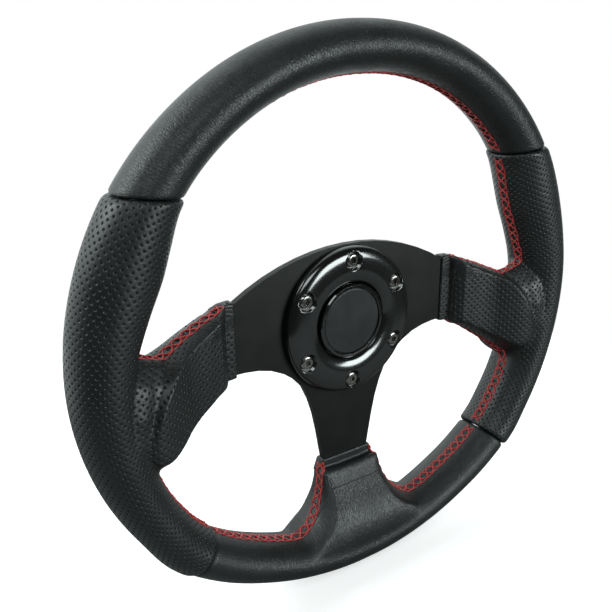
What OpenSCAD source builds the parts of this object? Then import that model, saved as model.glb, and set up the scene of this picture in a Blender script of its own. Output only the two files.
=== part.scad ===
// Three-spoke sports steering wheel with a leather rim, laced seams and a sprung horn button.
// The origin is the centre of the bolt circle on the back face of the spoke plate.
// +X is to the driver's right, +Z is up and +Y points away from the driver, along the column.

/* [Rim] */
// Width of the wheel across its grips
wheel_w = 320; // [316:1:326]
// Depth of the padded rim from front to back
rim_depth = 36; // [34:0.5:38]
// Distance from the back of the spoke plate forward to the middle of the rim
rim_forward = 15; // [14:0.5:17]
// Radius of the circle that the steel core tube is bent to
core_ring_r = 141; // [140:0.5:142]
// Outside diameter of the steel core tube
core_tube_d = 10; // [8:0.5:11]
// Wall of the steel core tube
core_wall = 1.5; // [1:0.25:2]
// Thickness of the leather
leather_t = 1.3; // [1.1:0.1:1.5]

/* [Spoke plate] */
// Thickness of the spoke plate
plate_t = 4; // [3:0.25:4.5]
// Height of the plate's top edge above the bolt circle's centre
plate_top = 43.2; // [43:0.2:46]
// Width of the trouser-shaped lower spoke where it goes into the leather
lower_spoke_w = 32; // [30:0.5:33]
// Diameter of the middle hole that clears the horn housing
plate_bore_d = 48; // [48:0.5:52]

/* [Bolts and trim ring] */
// Number of hub screws
screw_n = 6; // [3, 6]
// Diameter of the bolt circle
bolt_circle_d = 70; // [68:1:72]
// Nominal diameter of the hub screws
screw_d = 5; // [4:0.5:6]
// Length of a hub screw under its head
screw_len = 16; // [14:1:20]
// Outside diameter of the trim ring
ring_d = 84.6; // [84:0.2:86]
// Height of the trim ring above the plate
ring_h = 7; // [6.5:0.25:7.5]

/* [Horn button] */
// Outside diameter of the horn button's lip
button_d = 42.6; // [42:0.2:42.8]
// Diameter of the flat face that is let into the button
face_d = 38; // [36:0.5:38.4]
// Travel of the horn button
button_travel = 2; // [1.5:0.1:2]
// Diameter of the spring's wire
spring_wire_d = 1.2; // [1:0.1:1.3]
// Number of turns in the spring
spring_turns = 3.5; // [3:0.5:4]

/* [Hidden] */

rim_r = wheel_w / 2;
rim_y = -rim_forward;
bolt_r = bolt_circle_d / 2;
plate_front = -plate_t;
foam_gap = 0.5;
fit = 0.1;
// The screws are waisted as far as the back of the plate and have their full thread behind it
shank_r = screw_d / 2 - 0.35;
screw_hole_r = screw_d / 2 + 0.15;
rivet_r = 2.5;
rivet_hole_r = rivet_r + fit / 2;

// Each list pairs an angle above the horizontal with a length at that angle. The wheel is
// symmetric, so one list from straight down to straight up serves both sides.
// How far the outside lies within the widest radius
outer_drop = [[-90, 10.2], [-75, 9], [-62, 6.6], [-50, 2.8], [-40, 0.2], [-32, 1.4], [-20, 1],
              [0, 0], [30, 0], [60, 1.4], [90, 2.4]];
// Width of the rim from its inside to its outside
rim_width = [[-90, 22.8], [-70, 24], [-55, 25.5], [-42, 26], [-30, 25], [-20, 26.4],
             [-5, 28.4], [5, 30], [14, 34], [22, 36.2], [29, 34.2], [38, 29.6], [50, 27.6],
             [70, 26.4], [90, 26.2]];
// The grip covers stand proud of the smooth covers
grip_swell = 0.5;
smooth_swell = -0.6;

// Edges of the right spoke's pad, as height against distance from the middle
cuff_x = 71;
step_x = 77.5;
pad_end_x = 141;
pad_top = [[71, 24.5], [77, 24], [82, 22.4], [88, 20.4], [98, 16.2], [108, 11.8], [116, 8.6],
           [128, 3], [141, 0]];
pad_low = [[71, -17], [77, -17.6], [84, -21], [92, -26], [104, -34], [113, -40.5], [119, -47],
           [128, -52], [141, -54]];
// Front of the side pads as a height above the back of the plate
pad_front = [[78, 10.5], [86, 12], [96, 15.5], [104, 20], [112, 24], [120, 25.5], [141, 27]];
pad_back = [[78, 3.2], [104, 3.2], [120, 2.6], [141, 1.6]];
// Half width of the lower pad against the distance below the middle
lower_cuff_z = 84;
lower_step_z = 90;
lower_half = [[84, 17.4], [90, 19.4], [96, 21.2], [104, 23.8], [111, 27.8], [117, 33.6],
              [124, 41.5], [134, 44]];
lower_front = [[90, 10.5], [98, 14], [106, 20], [114, 27], [124, 29], [134, 28]];
lower_back = [[90, 3], [110, 2.6], [124, 1.2], [134, 0.4]];

// Where one cover ends and the next begins, as an angle at the outside and at the inside
upper_joint = [33, 39.5];
lower_joint = [-43.5, -43.5];
joint_gap = 0.4;

function knot(t, p, i = 0) = (i >= len(p) - 2 || t < p[i + 1][0]) ? i : knot(t, p, i + 1);
function slope(p, i) =
    let (a = max(i - 1, 0), b = min(i + 1, len(p) - 1)) (p[b][1] - p[a][1]) / (p[b][0] - p[a][0]);
// Smooth curve through a list of pairs
function curve(t, p) =
    let (i = knot(t, p), h = p[i + 1][0] - p[i][0], u = (t - p[i][0]) / h)
    (2 * u * u * u - 3 * u * u + 1) * p[i][1] + (u * u * u - 2 * u * u + u) * h * slope(p, i)
    + (3 * u * u - 2 * u * u * u) * p[i + 1][1] + (u * u * u - u * u) * h * slope(p, i + 1);

function fold(t) = asin(sin(t));
function outer_r(t) = rim_r - curve(fold(t), outer_drop);
function inner_r(t) = outer_r(t) - curve(fold(t), rim_width);

// Section of the rim at an angle, grown or shrunk all round
section_n = 18;
function rim_section(t, grow) =
    let (half = (outer_r(t) - inner_r(t)) / 2, mid = outer_r(t) - half)
    [for (k = [0:section_n - 1])
        let (a = 360 * k / section_n, r = mid + (half + grow) * cos(a))
        [r * cos(t), rim_y + (rim_depth / 2 + grow) * sin(a), r * sin(t)]];

// Closed solid through a row of sections that all have the same number of points.
// A looped one joins its last section to its first.
module skin(rings, loop = false) {
    n = len(rings[0]);
    m = len(rings);
    side = [for (i = [0:m - (loop ? 1 : 2)], k = [0:n - 1], half = [0, 1])
        let (a = i * n + k, b = i * n + (k + 1) % n, c = (i + 1) % m * n + k,
             d = (i + 1) % m * n + (k + 1) % n)
        half == 0 ? [a, c, b] : [b, c, d]];
    first = [for (k = [1:n - 2]) [0, k, k + 1]];
    last = [for (k = [1:n - 2]) (m - 1) * n * [1, 1, 1] + [0, k + 1, k]];
    polyhedron([for (ring = rings) each ring], loop ? side : concat(side, first, last), convexity = 6);
}

// Tube with a wall between two rows of sections, open at both ends
module sleeve(outer, inner) {
    n = len(outer[0]);
    m = len(outer);
    q = m * n;
    quads = concat(
        [for (i = [0:m - 2], k = [0:n - 1]) let (j = (k + 1) % n)
            [i * n + k, i * n + j, (i + 1) * n + j, (i + 1) * n + k]],
        [for (i = [0:m - 2], k = [0:n - 1]) let (j = (k + 1) % n)
            [q + i * n + j, q + i * n + k, q + (i + 1) * n + k, q + (i + 1) * n + j]],
        [for (k = [0:n - 1]) let (j = (k + 1) % n) [j, k, q + k, q + j]],
        [for (k = [0:n - 1]) let (j = (k + 1) % n, e = (m - 1) * n)
            [e + k, e + j, q + e + j, q + e + k]]);
    faces = [for (f = quads, half = [0, 1]) half == 0 ? [f[0], f[3], f[1]] : [f[1], f[3], f[2]]];
    polyhedron(concat([for (ring = outer) each ring], [for (ring = inner) each ring]), faces,
               convexity = 6);
}

// Turns a shape drawn flat, with its height pointing to -Y, into the plane of the wheel
module facing() { rotate([90, 0, 0]) children(); }

module both_sides() {
    children();
    mirror([1, 0, 0]) children();
}

// ---- Spoke plate and core ----

// Right half of the plate's outline, from its top edge round to the lower spoke
arm_top = [[71, 23], [84, 17.6], [100, 10], [121, 0.5]];
arm_low = [[121, -23], [100, -21], [84, -16.5], [74, -15.6], [66, -15.8], [58, -16.8], [50, -19],
           [42, -23], [35, -28.4], [29.2, -35], [25, -44], [21.8, -54], [19.2, -66]];
function plate_half() =
    let (w = lower_spoke_w / 2, sag = plate_top - arm_top[0][1], x = arm_top[0][0],
         r = (x * x + sag * sag) / (2 * sag), span = asin(x / r))
    concat([for (i = [0:7]) let (a = span * i / 7) [r * sin(a), plate_top - r + r * cos(a)]],
           [for (i = [1:3]) arm_top[i]], arm_low, [[w, -84], [w, -121]]);

module plate_outline() {
    right = plate_half();
    left = [for (i = [len(right) - 1:-1:1]) [-right[i][0], right[i][1]]];
    polygon(concat(right, left));
}

module bolt_circle() {
    for (i = [0:screw_n - 1])
        rotate([0, 90 + 360 * i / screw_n, 0]) translate([bolt_r, 0, 0]) children();
}

module along_y(r, from, to, fn = 48) {
    translate([0, to, 0]) rotate([90, 0, 0]) cylinder(r = r, h = to - from, $fn = fn);
}

rivet_x = 106;
rivet_z = [-15, -5];
lug_z = -10;
lug_w = 20;
lower_lug_w = 24;
lower_rivet_x = [-6, 6];
module rivet_places() {
    both_sides() for (z = rivet_z) translate([rivet_x, 0, z]) children();
    for (x = lower_rivet_x) translate([x, 0, -rivet_x]) children();
}

module spoke_plate() color("#1c1c1e") {
    difference() {
        facing() linear_extrude(plate_t) plate_outline();
        along_y(plate_bore_d / 2, plate_front - 1, 1, 96);
        bolt_circle() along_y(screw_hole_r, plate_front - 1, 1);
        rivet_places() along_y(rivet_hole_r, plate_front - 1, 1, 32);
    }
}

// Sweeps a flat section, drawn around the middle of the core tube, round the whole wheel
module core_sweep(fn = 120) translate([0, rim_y, 0]) rotate([90, 0, 0])
    rotate_extrude($fn = fn) translate([core_ring_r, 0]) children();

module rim_core() color("#8d9094") core_sweep() difference() {
    circle(d = core_tube_d, $fn = 32);
    circle(d = core_tube_d - 2 * core_wall, $fn = 32);
}

// Bent strap that joins an arm of the plate to the core tube, drawn for the right side
lug_t = 3;
module lug_strap(width) {
    rise_x = core_ring_r - core_tube_d / 2;
    foot = plate_front - lug_t;
    translate([0, 0, -width / 2]) linear_extrude(width) polygon([
        [96, plate_front], [119, plate_front], [rise_x + 2, rim_y + 7.4],
        [rise_x + 2, rim_y - 3], [rise_x - 2, rim_y - 3], [117, foot], [96, foot]]);
}

module core_clearance() core_sweep() circle(d = core_tube_d + 2 * fit, $fn = 32);

module side_lug() difference() {
    translate([0, 0, lug_z]) lug_strap(lug_w);
    core_clearance();
    for (z = rivet_z) translate([rivet_x, 0, z]) along_y(rivet_hole_r, -20, 1, 32);
}

module right_lug() color("#6f7377") side_lug();
module left_lug() color("#6f7377") mirror([1, 0, 0]) side_lug();
module lower_lug() color("#6f7377") difference() {
    rotate([0, 90, 0]) lug_strap(lower_lug_w);
    core_clearance();
    for (x = lower_rivet_x) translate([x, 0, -rivet_x]) along_y(rivet_hole_r, -20, 1, 32);
}

rivet_head_r = 4;
rivet_head_h = 1.2;
module lug_rivets() color("#a4a7aa") rivet_places() {
    along_y(rivet_r, plate_front - lug_t - 0.05, 0.05, 32);
    along_y(rivet_head_r, plate_front - lug_t - rivet_head_h, plate_front - lug_t, 32);
    along_y(rivet_head_r, 0, rivet_head_h, 32);
}

// ---- Padding and leather ----

// Rounded block across a spoke at distance x from the middle, one section of a pad
function block(x, low, high, front, back, r) = [for (c = [0:3], k = [0:3])
    let (a = 90 * c + 30 * k, y = c % 3 == 0 ? back - r : r - front, z = c < 2 ? high - r : low + r)
    [x, y + r * cos(a), z + r * sin(a)]];

// Sections of a spoke's leather: a thin cuff that lies on the plate, a step, then the rising pad
function pad_sections(grow, past, cuff, step, stations, top, low, front, back) = concat(
    [for (x = [cuff - past, step - grow - 0.6])
        block(x, curve(max(x, cuff), low) - grow, curve(max(x, cuff), top) + grow,
              plate_t + leather_t + grow, leather_t + grow, 0.6)],
    [for (x = stations) let (r = min(6.4, 2.6 + (x - step) * 0.25) + grow)
        block(x - grow * (1 - (x - step) / 60), curve(x, low) - grow, curve(x, top) + grow,
              curve(x, front) + grow, curve(x, back) + grow, r)]);

module side_pad(grow, past) skin(pad_sections(grow, past, cuff_x, step_x,
    [78, 80, 84, 88, 93, 98, 104, 110, 116, 122, 131, pad_end_x], pad_top, pad_low, pad_front,
    pad_back));

lower_low = [for (p = lower_half) [p[0], -p[1]]];
module lower_pad(grow, past) rotate([0, 90, 0]) skin(pad_sections(grow, past, lower_cuff_z,
    lower_step_z, [90, 92, 96, 100, 105, 110, 115, 120, 126, 134], lower_half, lower_low,
    lower_front, lower_back));

// Meshes its children as one piece
module moulded() resize([0, 0, 0]) children();

module rim_part(from, to, grow, steps) {
    skin([for (i = [0:steps]) rim_section(from + (to - from) * i / steps, grow)]);
}

inner_grow = -leather_t;
foam_grow = -leather_t - foam_gap;

// The rays of a tilted joint pass through its outside and its inside points
function joint_point(angles, side) = side == 0
    ? inner_r(angles[1]) * [cos(angles[1]), sin(angles[1])]
    : outer_r(angles[0]) * [cos(angles[0]), sin(angles[0])];

// Half plane on the upper side of a joint, for the right side of the wheel
module above_joint(angles, shift) {
    p = joint_point(angles, 0);
    q = joint_point(angles, 1);
    d = (q - p) / norm(q - p);
    n = [-d[1], d[0]];
    a = p - 200 * d + shift * n;
    b = q + 60 * d + shift * n;
    rotate([90, 0, 0]) translate([0, 0, -30]) linear_extrude(80)
        polygon([a, b, b + 260 * n, a + 260 * n]);
}

module grip_solid(grow, past) {
    rim_part(-50, 48, grow + grip_swell, 20);
    side_pad(grow, past);
}

module grip_cover() moulded() intersection() {
    difference() {
        grip_solid(0, 0);
        grip_solid(inner_grow, 1);
        above_joint(upper_joint, -joint_gap / 2);
    }
    above_joint(lower_joint, joint_gap / 2);
}

module right_grip_cover() color("#202124") grip_cover();
module left_grip_cover() color("#202124") mirror([1, 0, 0]) grip_cover();

// The upper cover's ends lean over with its joints
function lean(t, r) =
    let (e = upper_joint[1], w = max(0, (e + 12 - fold(t)) / 12),
         p = (r - inner_r(e)) / (outer_r(e) - inner_r(e)))
    (t < 90 ? -1 : 1) * w * min(1, max(-0.1, p)) * (upper_joint[1] - upper_joint[0]);
function leaned_section(t, grow) = [for (p = rim_section(t, grow))
    let (r = norm([p[0], p[2]]), a = t + lean(t, r)) [r * cos(a), p[1], r * sin(a)]];
function upper_sections(grow) =
    let (from = upper_joint[1] + 0.1, steps = 22)
    [for (i = [0:steps]) leaned_section(from + (180 - 2 * from) * i / steps, grow)];

module top_cover() color("#232427")
    sleeve(upper_sections(smooth_swell), upper_sections(inner_grow + smooth_swell));

module lower_solid(grow, past) {
    rim_part(-138, -42, grow + smooth_swell, 20);
    lower_pad(grow, past);
}

module lower_cover() color("#232427") moulded() difference() {
    lower_solid(0, 0);
    lower_solid(inner_grow, 1);
    both_sides() above_joint(lower_joint, -joint_gap / 2);
}

module foam_padding() color("#3b3a36") moulded() difference() {
    union() {
        skin([for (t = [0:5:355]) rim_section(t, foam_grow + smooth_swell)], loop = true);
        both_sides() side_pad(foam_grow, 0);
        lower_pad(foam_grow, 0);
    }
    core_sweep(72) circle(d = core_tube_d + 8 * fit, $fn = 14);
    facing() translate([0, 0, -fit]) linear_extrude(plate_t + 2 * fit)
        offset(delta = fit) plate_outline();
    both_sides() translate([95, -25, lug_z - lug_w / 2 - fit]) cube([43, 25, lug_w + 2 * fit]);
    translate([-lower_lug_w / 2 - fit, -25, -138]) cube([lower_lug_w + 2 * fit, 25, 43]);
    rivet_places() along_y(rivet_head_r + fit, -12, rivet_head_h + fit, 16);
}

// ---- Stitching ----

// Points of a seam in the wheel's plane with its place in depth: [x, z, y]
function side_seam_y(x) = -7 - min(1, max(0, (x - 84) / 34)) * (rim_forward - 7);
function rim_points(from, to, steps) = [for (i = [0:steps]) let (t = from + (to - from) * i / steps)
    [inner_r(t) * cos(t), inner_r(t) * sin(t), rim_y]];
function shift_rim(points, d) = [for (p = points)
    let (r = norm([p[0], p[1]])) [p[0] * (r - d) / r, p[1] * (r - d) / r, p[2]]];

seam_w = 5;
seam_t = 0.6;
seam_gap = 0.4;
// Ribbon of lacing that follows a seam, on the left of its direction of travel
module lacing(path) {
    m = len(path);
    tangents = [for (i = [0:m - 1]) let (d = path[min(i + 1, m - 1)] - path[max(i - 1, 0)],
        f = [d[0], d[1]]) f / norm(f)];
    skin([for (i = [0:m - 1]) let (n = [-tangents[i][1], tangents[i][0]], p = path[i],
        a = seam_gap, b = seam_gap + seam_t, h = seam_w / 2)
        [[p[0] + n[0] * a, p[2] - h, p[1] + n[1] * a], [p[0] + n[0] * a, p[2] + h, p[1] + n[1] * a],
         [p[0] + n[0] * b, p[2] + h, p[1] + n[1] * b], [p[0] + n[0] * b, p[2] - h, p[1] + n[1] * b]]]);
}

module top_stitching() color("#b3161b")
    lacing(shift_rim(rim_points(upper_joint[1] + 1, 179 - upper_joint[1], 28), smooth_swell));

seam_x = [80, 84, 88, 93, 98, 104, 110, 113];
module reversed_lacing(path) lacing([for (i = [len(path) - 1:-1:0]) path[i]]);
module grip_stitching() {
    lacing([for (x = seam_x) [x, curve(x, pad_top), side_seam_y(x)]]);
    lacing(shift_rim(rim_points(9, upper_joint[1] - 1, 14), grip_swell));
    reversed_lacing([for (x = seam_x) [x, curve(x, pad_low), side_seam_y(x)]]);
    lacing(shift_rim(rim_points(lower_joint[0] + 1, -25, 8), grip_swell));
}

module right_stitching() color("#b3161b") grip_stitching();
module left_stitching() color("#b3161b") mirror([1, 0, 0]) grip_stitching();

lower_seam_z = [91, 95, 99, 104, 109, 113, 116];
module lower_stitching() color("#b3161b") both_sides() {
    lacing([for (z = lower_seam_z) [curve(z, lower_half), -z, side_seam_y(z - 8)]]);
    lacing(shift_rim(rim_points(-67, lower_joint[1] - 1, 8), smooth_swell));
}

// ---- Trim ring and screws ----

ring_front = plate_front - ring_h;
ring_bore_r = button_d / 2 + 0.4;
recess_r = 26.5;
recess_h = 1.5;
head_r = 4.75;
head_h = 2.7;
head_seat = plate_front - 3.6;
module trim_ring() color("#101012") difference() {
    rotate([90, 0, 0]) rotate_extrude($fn = 144) polygon(concat(
        [[recess_r, plate_t], [ring_d / 2 - 0.4, plate_t], [ring_d / 2, plate_t + 0.4],
         [ring_d / 2, plate_t + 1.6]],
        [for (i = [1:6]) let (a = 15 * i) [ring_d / 2 - 4.5 + 4.5 * cos(a),
            plate_t + 1.6 + (ring_h - 1.6) * sin(a)]],
        [[31.5, plate_t + ring_h]],
        [for (i = [1:6]) let (a = 15 * i) [31.5 - (31.5 - ring_bore_r - 0.4) * sin(a) ,
            plate_t + ring_h - 3.4 * (1 - cos(a))]],
        [[ring_bore_r, plate_t + ring_h - 3.9], [ring_bore_r, plate_t + recess_h],
         [recess_r, plate_t + recess_h]]));
    bolt_circle() {
        along_y(head_r + 0.5, ring_front - 1, head_seat, 48);
        along_y(screw_hole_r, ring_front - 1, 0, 48);
    }
}

module hub_screw() difference() {
    rotate([90, 0, 0]) rotate_extrude($fn = 48) polygon(concat(
        [[0, head_h], [2.6, head_h]],
        [for (i = [1:6]) let (a = 12.5 * i) [2.6 + (head_r - 2.6) * sin(a) / sin(75),
            0.5 + (head_h - 0.5) * (cos(a) - cos(75)) / (1 - cos(75))]],
        [[head_r, 0], [shank_r, 0], [shank_r, head_seat], [screw_d / 2, head_seat],
         [screw_d / 2, -screw_len + 0.6],
         [screw_d / 2 - 0.6, -screw_len], [0, -screw_len]]));
    translate([0, -0.9, 0]) rotate([90, 0, 0]) cylinder(d = 3.46, h = 4, $fn = 6);
}
module hub_screws() color("#4b4b50") bolt_circle() translate([0, head_seat, 0]) hub_screw();

// ---- Horn button ----

button_front = -10.2;
button_r = button_d / 2;
face_r = face_d / 2;
web_front = -8.6;
web_back = -6.6;
catch_r = ring_bore_r + 0.4;
housing_r = 23.5;
housing_in_r = 22.5;
ledge_y = 5;
housing_back = 11;
sheet_t = 0.8;
// Back of the moving contact's cup, and the fixed contact that it reaches when pressed
cup_back = -0.2;
contact_gap = 0.3;
contact_front = cup_back + button_travel + contact_gap;

module turned(points, fn = 96) rotate([90, 0, 0]) rotate_extrude($fn = fn)
    polygon([for (p = points) [p[0], -p[1]]]);

module horn_housing() color("#18181a") difference() {
    turned([[19.5, housing_back], [0, housing_back], [0, housing_back - 2], [18.5, housing_back - 2],
            [18.5, ledge_y], [housing_in_r, ledge_y], [housing_in_r, plate_front - 1.3],
            [recess_r - 0.4, plate_front - 1.3], [recess_r - 0.4, plate_front - fit],
            [housing_r, plate_front - fit], [housing_r, housing_back - 3], [22.5, housing_back]]);
    for (x = [live_x + blade_shift, earth_x - blade_shift])
        translate([x - sheet_t / 2 - fit, housing_back - 3, -blade_w / 2 - fit])
            cube([sheet_t + 2 * fit, 4, blade_w + 2 * fit]);
}

module horn_button() color("#0d0d0f") turned([
    [0, web_front], [face_r + fit, web_front], [face_r + fit, button_front + 0.3],
    [face_r + 0.5, button_front], [button_r - 0.6, button_front], [button_r, button_front + 0.6],
    [button_r, plate_front - 1.1], [catch_r, plate_front - 1.1], [catch_r, plate_front + 0.6],
    [button_r - 1.8, plate_front + 0.6], [button_r - 1.8, web_back], [3.4, web_back],
    [3.4, -1.4], [0, -1.4]]);

module button_face() color("#242427") turned([[0, web_front - 1], [face_r - 0.8, web_front - 1],
    [face_r, web_front - 0.6], [face_r, web_front], [0, web_front]]);

plate_r = 16.5;
cup_r = 4.5;
module contact_plate() color("#c9a24b") turned([
    [cup_r - sheet_t, web_back], [plate_r, web_back], [plate_r, web_back + sheet_t],
    [cup_r, web_back + sheet_t], [cup_r, cup_back], [0, cup_back], [0, cup_back - sheet_t],
    [cup_r - sheet_t, cup_back - sheet_t]]);

spring_r = 13.5;
spring_from = web_back + sheet_t + spring_wire_d / 2 + 0.05;
spring_to = contact_front - spring_wire_d / 2 - 0.05;
module horn_spring() color("#b9bcc0") {
    steps = 20 * spring_turns;
    wire = spring_wire_d / 2;
    // The first and the last half turn lie nearly flat against their seats
    rise = [for (i = [0:steps]) let (u = i / steps) u - sin(360 * u) / 14];
    skin([for (i = [0:steps]) let (a = 360 * spring_turns * i / steps,
        y = spring_from + (spring_to - spring_from) * rise[i])
        [for (k = [0:7]) let (c = 45 * k, r = spring_r + wire * cos(c))
            [r * cos(a), y + wire * sin(c), r * sin(a)]]]);
}

live_x = -5;
earth_x = 14;
rivet_pin_r = 1.25;
// The blades stand nearer to the middle than the rivets that hold them
blade_shift = 3.4;
blade_w = 6.3;
module spring_seat() color("#c9a24b") difference() {
    turned([[11.5, contact_front], [plate_r, contact_front], [plate_r, contact_front + sheet_t],
            [11.5, contact_front + sheet_t]]);
    translate([earth_x, 0, 0]) along_y(rivet_pin_r, 0, 6, 24);
}

module fixed_contact() color("#c9a24b") difference() {
    turned([[2.5, contact_front], [8, contact_front], [8, contact_front + sheet_t],
            [2.5, contact_front + sheet_t]]);
    translate([live_x, 0, 0]) along_y(rivet_pin_r, 0, 6, 24);
}

base_front = contact_front + sheet_t;
module contact_base() color("#6b3f22") difference() {
    along_y(housing_in_r - 0.3, base_front, ledge_y, 96);
    for (x = [live_x, earth_x]) translate([x, 0, 0]) along_y(rivet_pin_r, 0, 6, 24);
}

// Bent spade terminal: a foot under the base and a blade out through the back
blade_len = 19;
module terminal(x, away) color("#c9a24b") translate([x, 0, 0]) difference() {
    union() {
        translate([-sheet_t / 2, ledge_y, -blade_w / 2])
            cube([sheet_t, blade_len - ledge_y, blade_w]);
        translate([away > 0 ? -sheet_t / 2 : -6, ledge_y, -blade_w / 2])
            cube([6 + sheet_t / 2, sheet_t, blade_w]);
    }
    translate([away * blade_shift, 0, 0]) along_y(rivet_pin_r, 0, 8, 24);
    translate([-2, blade_len - 3.5, 0]) rotate([0, 90, 0]) cylinder(r = 0.9, h = 4, $fn = 24);
}
module live_terminal() terminal(live_x + blade_shift, -1);
module earth_terminal() terminal(earth_x - blade_shift, 1);

module contact_rivets() color("#d8b765") for (x = [live_x, earth_x]) translate([x, 0, 0]) {
    along_y(rivet_pin_r - 0.05, contact_front - 0.02, ledge_y + sheet_t + 0.05, 24);
    along_y(2, ledge_y + sheet_t, ledge_y + sheet_t + 0.8, 24);
}

spoke_plate();
rim_core();
left_lug();
right_lug();
lower_lug();
lug_rivets();
foam_padding();
top_cover();
left_grip_cover();
right_grip_cover();
lower_cover();
top_stitching();
left_stitching();
right_stitching();
lower_stitching();
trim_ring();
hub_screws();
horn_housing();
horn_button();
button_face();
contact_plate();
horn_spring();
spring_seat();
fixed_contact();
contact_base();
live_terminal();
earth_terminal();
contact_rivets();
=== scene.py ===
"""Looks of a sports steering wheel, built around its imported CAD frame.

The leather covers, the foam in them, the lacing, the trim ring and the horn's spring are made here as
meshes. The other pieces keep their CAD shapes and get materials. Outlines are in millimetres and degrees,
and are scaled on use.
"""

import math

import bpy
import numpy as np
from mathutils import Matrix, Vector
from mathutils.bvhtree import BVHTree


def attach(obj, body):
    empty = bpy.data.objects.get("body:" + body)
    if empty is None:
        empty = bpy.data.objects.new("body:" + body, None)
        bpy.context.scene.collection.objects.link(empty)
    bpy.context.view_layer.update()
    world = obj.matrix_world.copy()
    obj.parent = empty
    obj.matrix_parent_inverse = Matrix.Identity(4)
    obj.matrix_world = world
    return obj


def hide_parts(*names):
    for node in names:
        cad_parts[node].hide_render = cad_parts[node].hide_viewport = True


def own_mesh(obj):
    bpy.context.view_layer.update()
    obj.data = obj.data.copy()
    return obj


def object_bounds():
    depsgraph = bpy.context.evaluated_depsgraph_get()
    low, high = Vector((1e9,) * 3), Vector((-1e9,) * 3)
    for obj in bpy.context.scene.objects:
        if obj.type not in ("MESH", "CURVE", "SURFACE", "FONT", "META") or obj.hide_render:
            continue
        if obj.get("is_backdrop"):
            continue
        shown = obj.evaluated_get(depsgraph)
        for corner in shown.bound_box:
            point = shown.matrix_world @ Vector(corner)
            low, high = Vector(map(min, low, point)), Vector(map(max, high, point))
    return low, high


MM = 0.001
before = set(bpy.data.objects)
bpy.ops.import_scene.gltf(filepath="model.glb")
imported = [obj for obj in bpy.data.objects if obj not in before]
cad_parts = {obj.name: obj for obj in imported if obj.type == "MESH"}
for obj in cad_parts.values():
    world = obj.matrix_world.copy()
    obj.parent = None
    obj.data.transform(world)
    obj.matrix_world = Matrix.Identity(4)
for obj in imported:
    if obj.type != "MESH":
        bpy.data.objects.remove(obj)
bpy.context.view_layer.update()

# ---- Driving sizes, as in the design: millimetres and degrees ----

RIM_R = 160.0
RIM_Y = -15.0
RIM_HALF_DEPTH = 18.0
OUTER_DROP = [(-90, 10.2), (-75, 9), (-62, 6.6), (-50, 2.8), (-40, 0.2), (-32, 1.4), (-20, 1),
              (0, 0), (30, 0), (60, 1.4), (90, 2.4)]
RIM_WIDTH = [(-90, 22.8), (-70, 24), (-55, 25.5), (-42, 26), (-30, 25), (-20, 26.4), (-5, 28.4),
             (5, 30), (14, 34), (22, 36.2), (29, 34.2), (38, 29.6), (50, 27.6), (70, 26.4), (90, 26.2)]
GRIP_SWELL = 0.5      # how far a hide stands proud of the rim's outline
SMOOTH_SWELL = -0.6
UPPER_JOINT = (33.0, 39.5)      # angles of the joint on the outside and the inside of the rim
LOWER_JOINT = -43.5
JOINT_GAP = 0.1
LEATHER_T = 1.3
FOAM_GAP = 0.3
END_ROLL = 1.9      # how far a hide turns in at its end, over the length END_EDGE
END_EDGE = 2.6
SEAM_Y = -6.0      # where a pad's walls meet at its seam
LOWER_SEAM_Y = -9.0
CUFF_FRONT = -5.4
CUFF_BACK = 1.4
GRIP_VOXEL = 0.55
SMOOTH_VOXEL = 0.8
ROOM_VOXEL = 1.5
STRETCH_W = 8.0      # the hide leaves the corner between rim and spoke over about this width
STRETCH_REACH = 4.2
BULGE_STEPS = 5

# The hide laid flat: the rim unrolls at UNROLL_R, and its section at WRAP_R
UNROLL_R = 145
WRAP_R = 16.8
QUARTER_WRAP = 26.4      # length of a quarter turn of the section
BACK_ANGLE = 2.62      # where the back of a spoke meets the section, in radians
PORE_CELL = 4.0      # two pores lie in each square cell, PORE_PITCH apart
PORE_PITCH = 2.83
PORE_R = 0.48
PORE_DEPTH = 0.26
SLIT_DEPTH = 0.55

SEAM_HALF_W = 2.5
THREAD_R = 0.44
STITCH_PITCH = 6.0
STEPS = 6      # points of thread in each stitch
FLOOR_R = 420.0
STUDIO_TINT = (0.91, 1.0, 0.99)
COOL = (0.88, 1.0, 1.02)


def curve(t, pairs):
    """Smooth curve through pairs, the same rule as the design's."""
    xs = np.array([p[0] for p in pairs], float)
    ys = np.array([p[1] for p in pairs], float)
    n = len(xs)
    ends = [(max(i - 1, 0), min(i + 1, n - 1)) for i in range(n)]
    slopes = np.array([(ys[b] - ys[a]) / (xs[b] - xs[a]) for a, b in ends])
    t = np.asarray(t, float)
    i = np.clip(np.searchsorted(xs, t, side="right") - 1, 0, n - 2)
    h = xs[i + 1] - xs[i]
    u = (t - xs[i]) / h
    return ((2 * u**3 - 3 * u**2 + 1) * ys[i] + (u**3 - 2 * u**2 + u) * h * slopes[i]
            + (3 * u**2 - 2 * u**3) * ys[i + 1] + (u**3 - u**2) * h * slopes[i + 1])


def fold(t):
    """Angle above the horizontal on either side of the wheel."""
    return np.degrees(np.arcsin(np.sin(np.radians(t))))


def outer_r(t):
    return RIM_R - curve(fold(t), OUTER_DROP)


def inner_r(t):
    return outer_r(t) - curve(fold(t), RIM_WIDTH)


def smoothstep(x):
    x = np.clip(x, 0, 1)
    return x * x * (3 - 2 * x)


# ---- Mesh helpers ----

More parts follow.
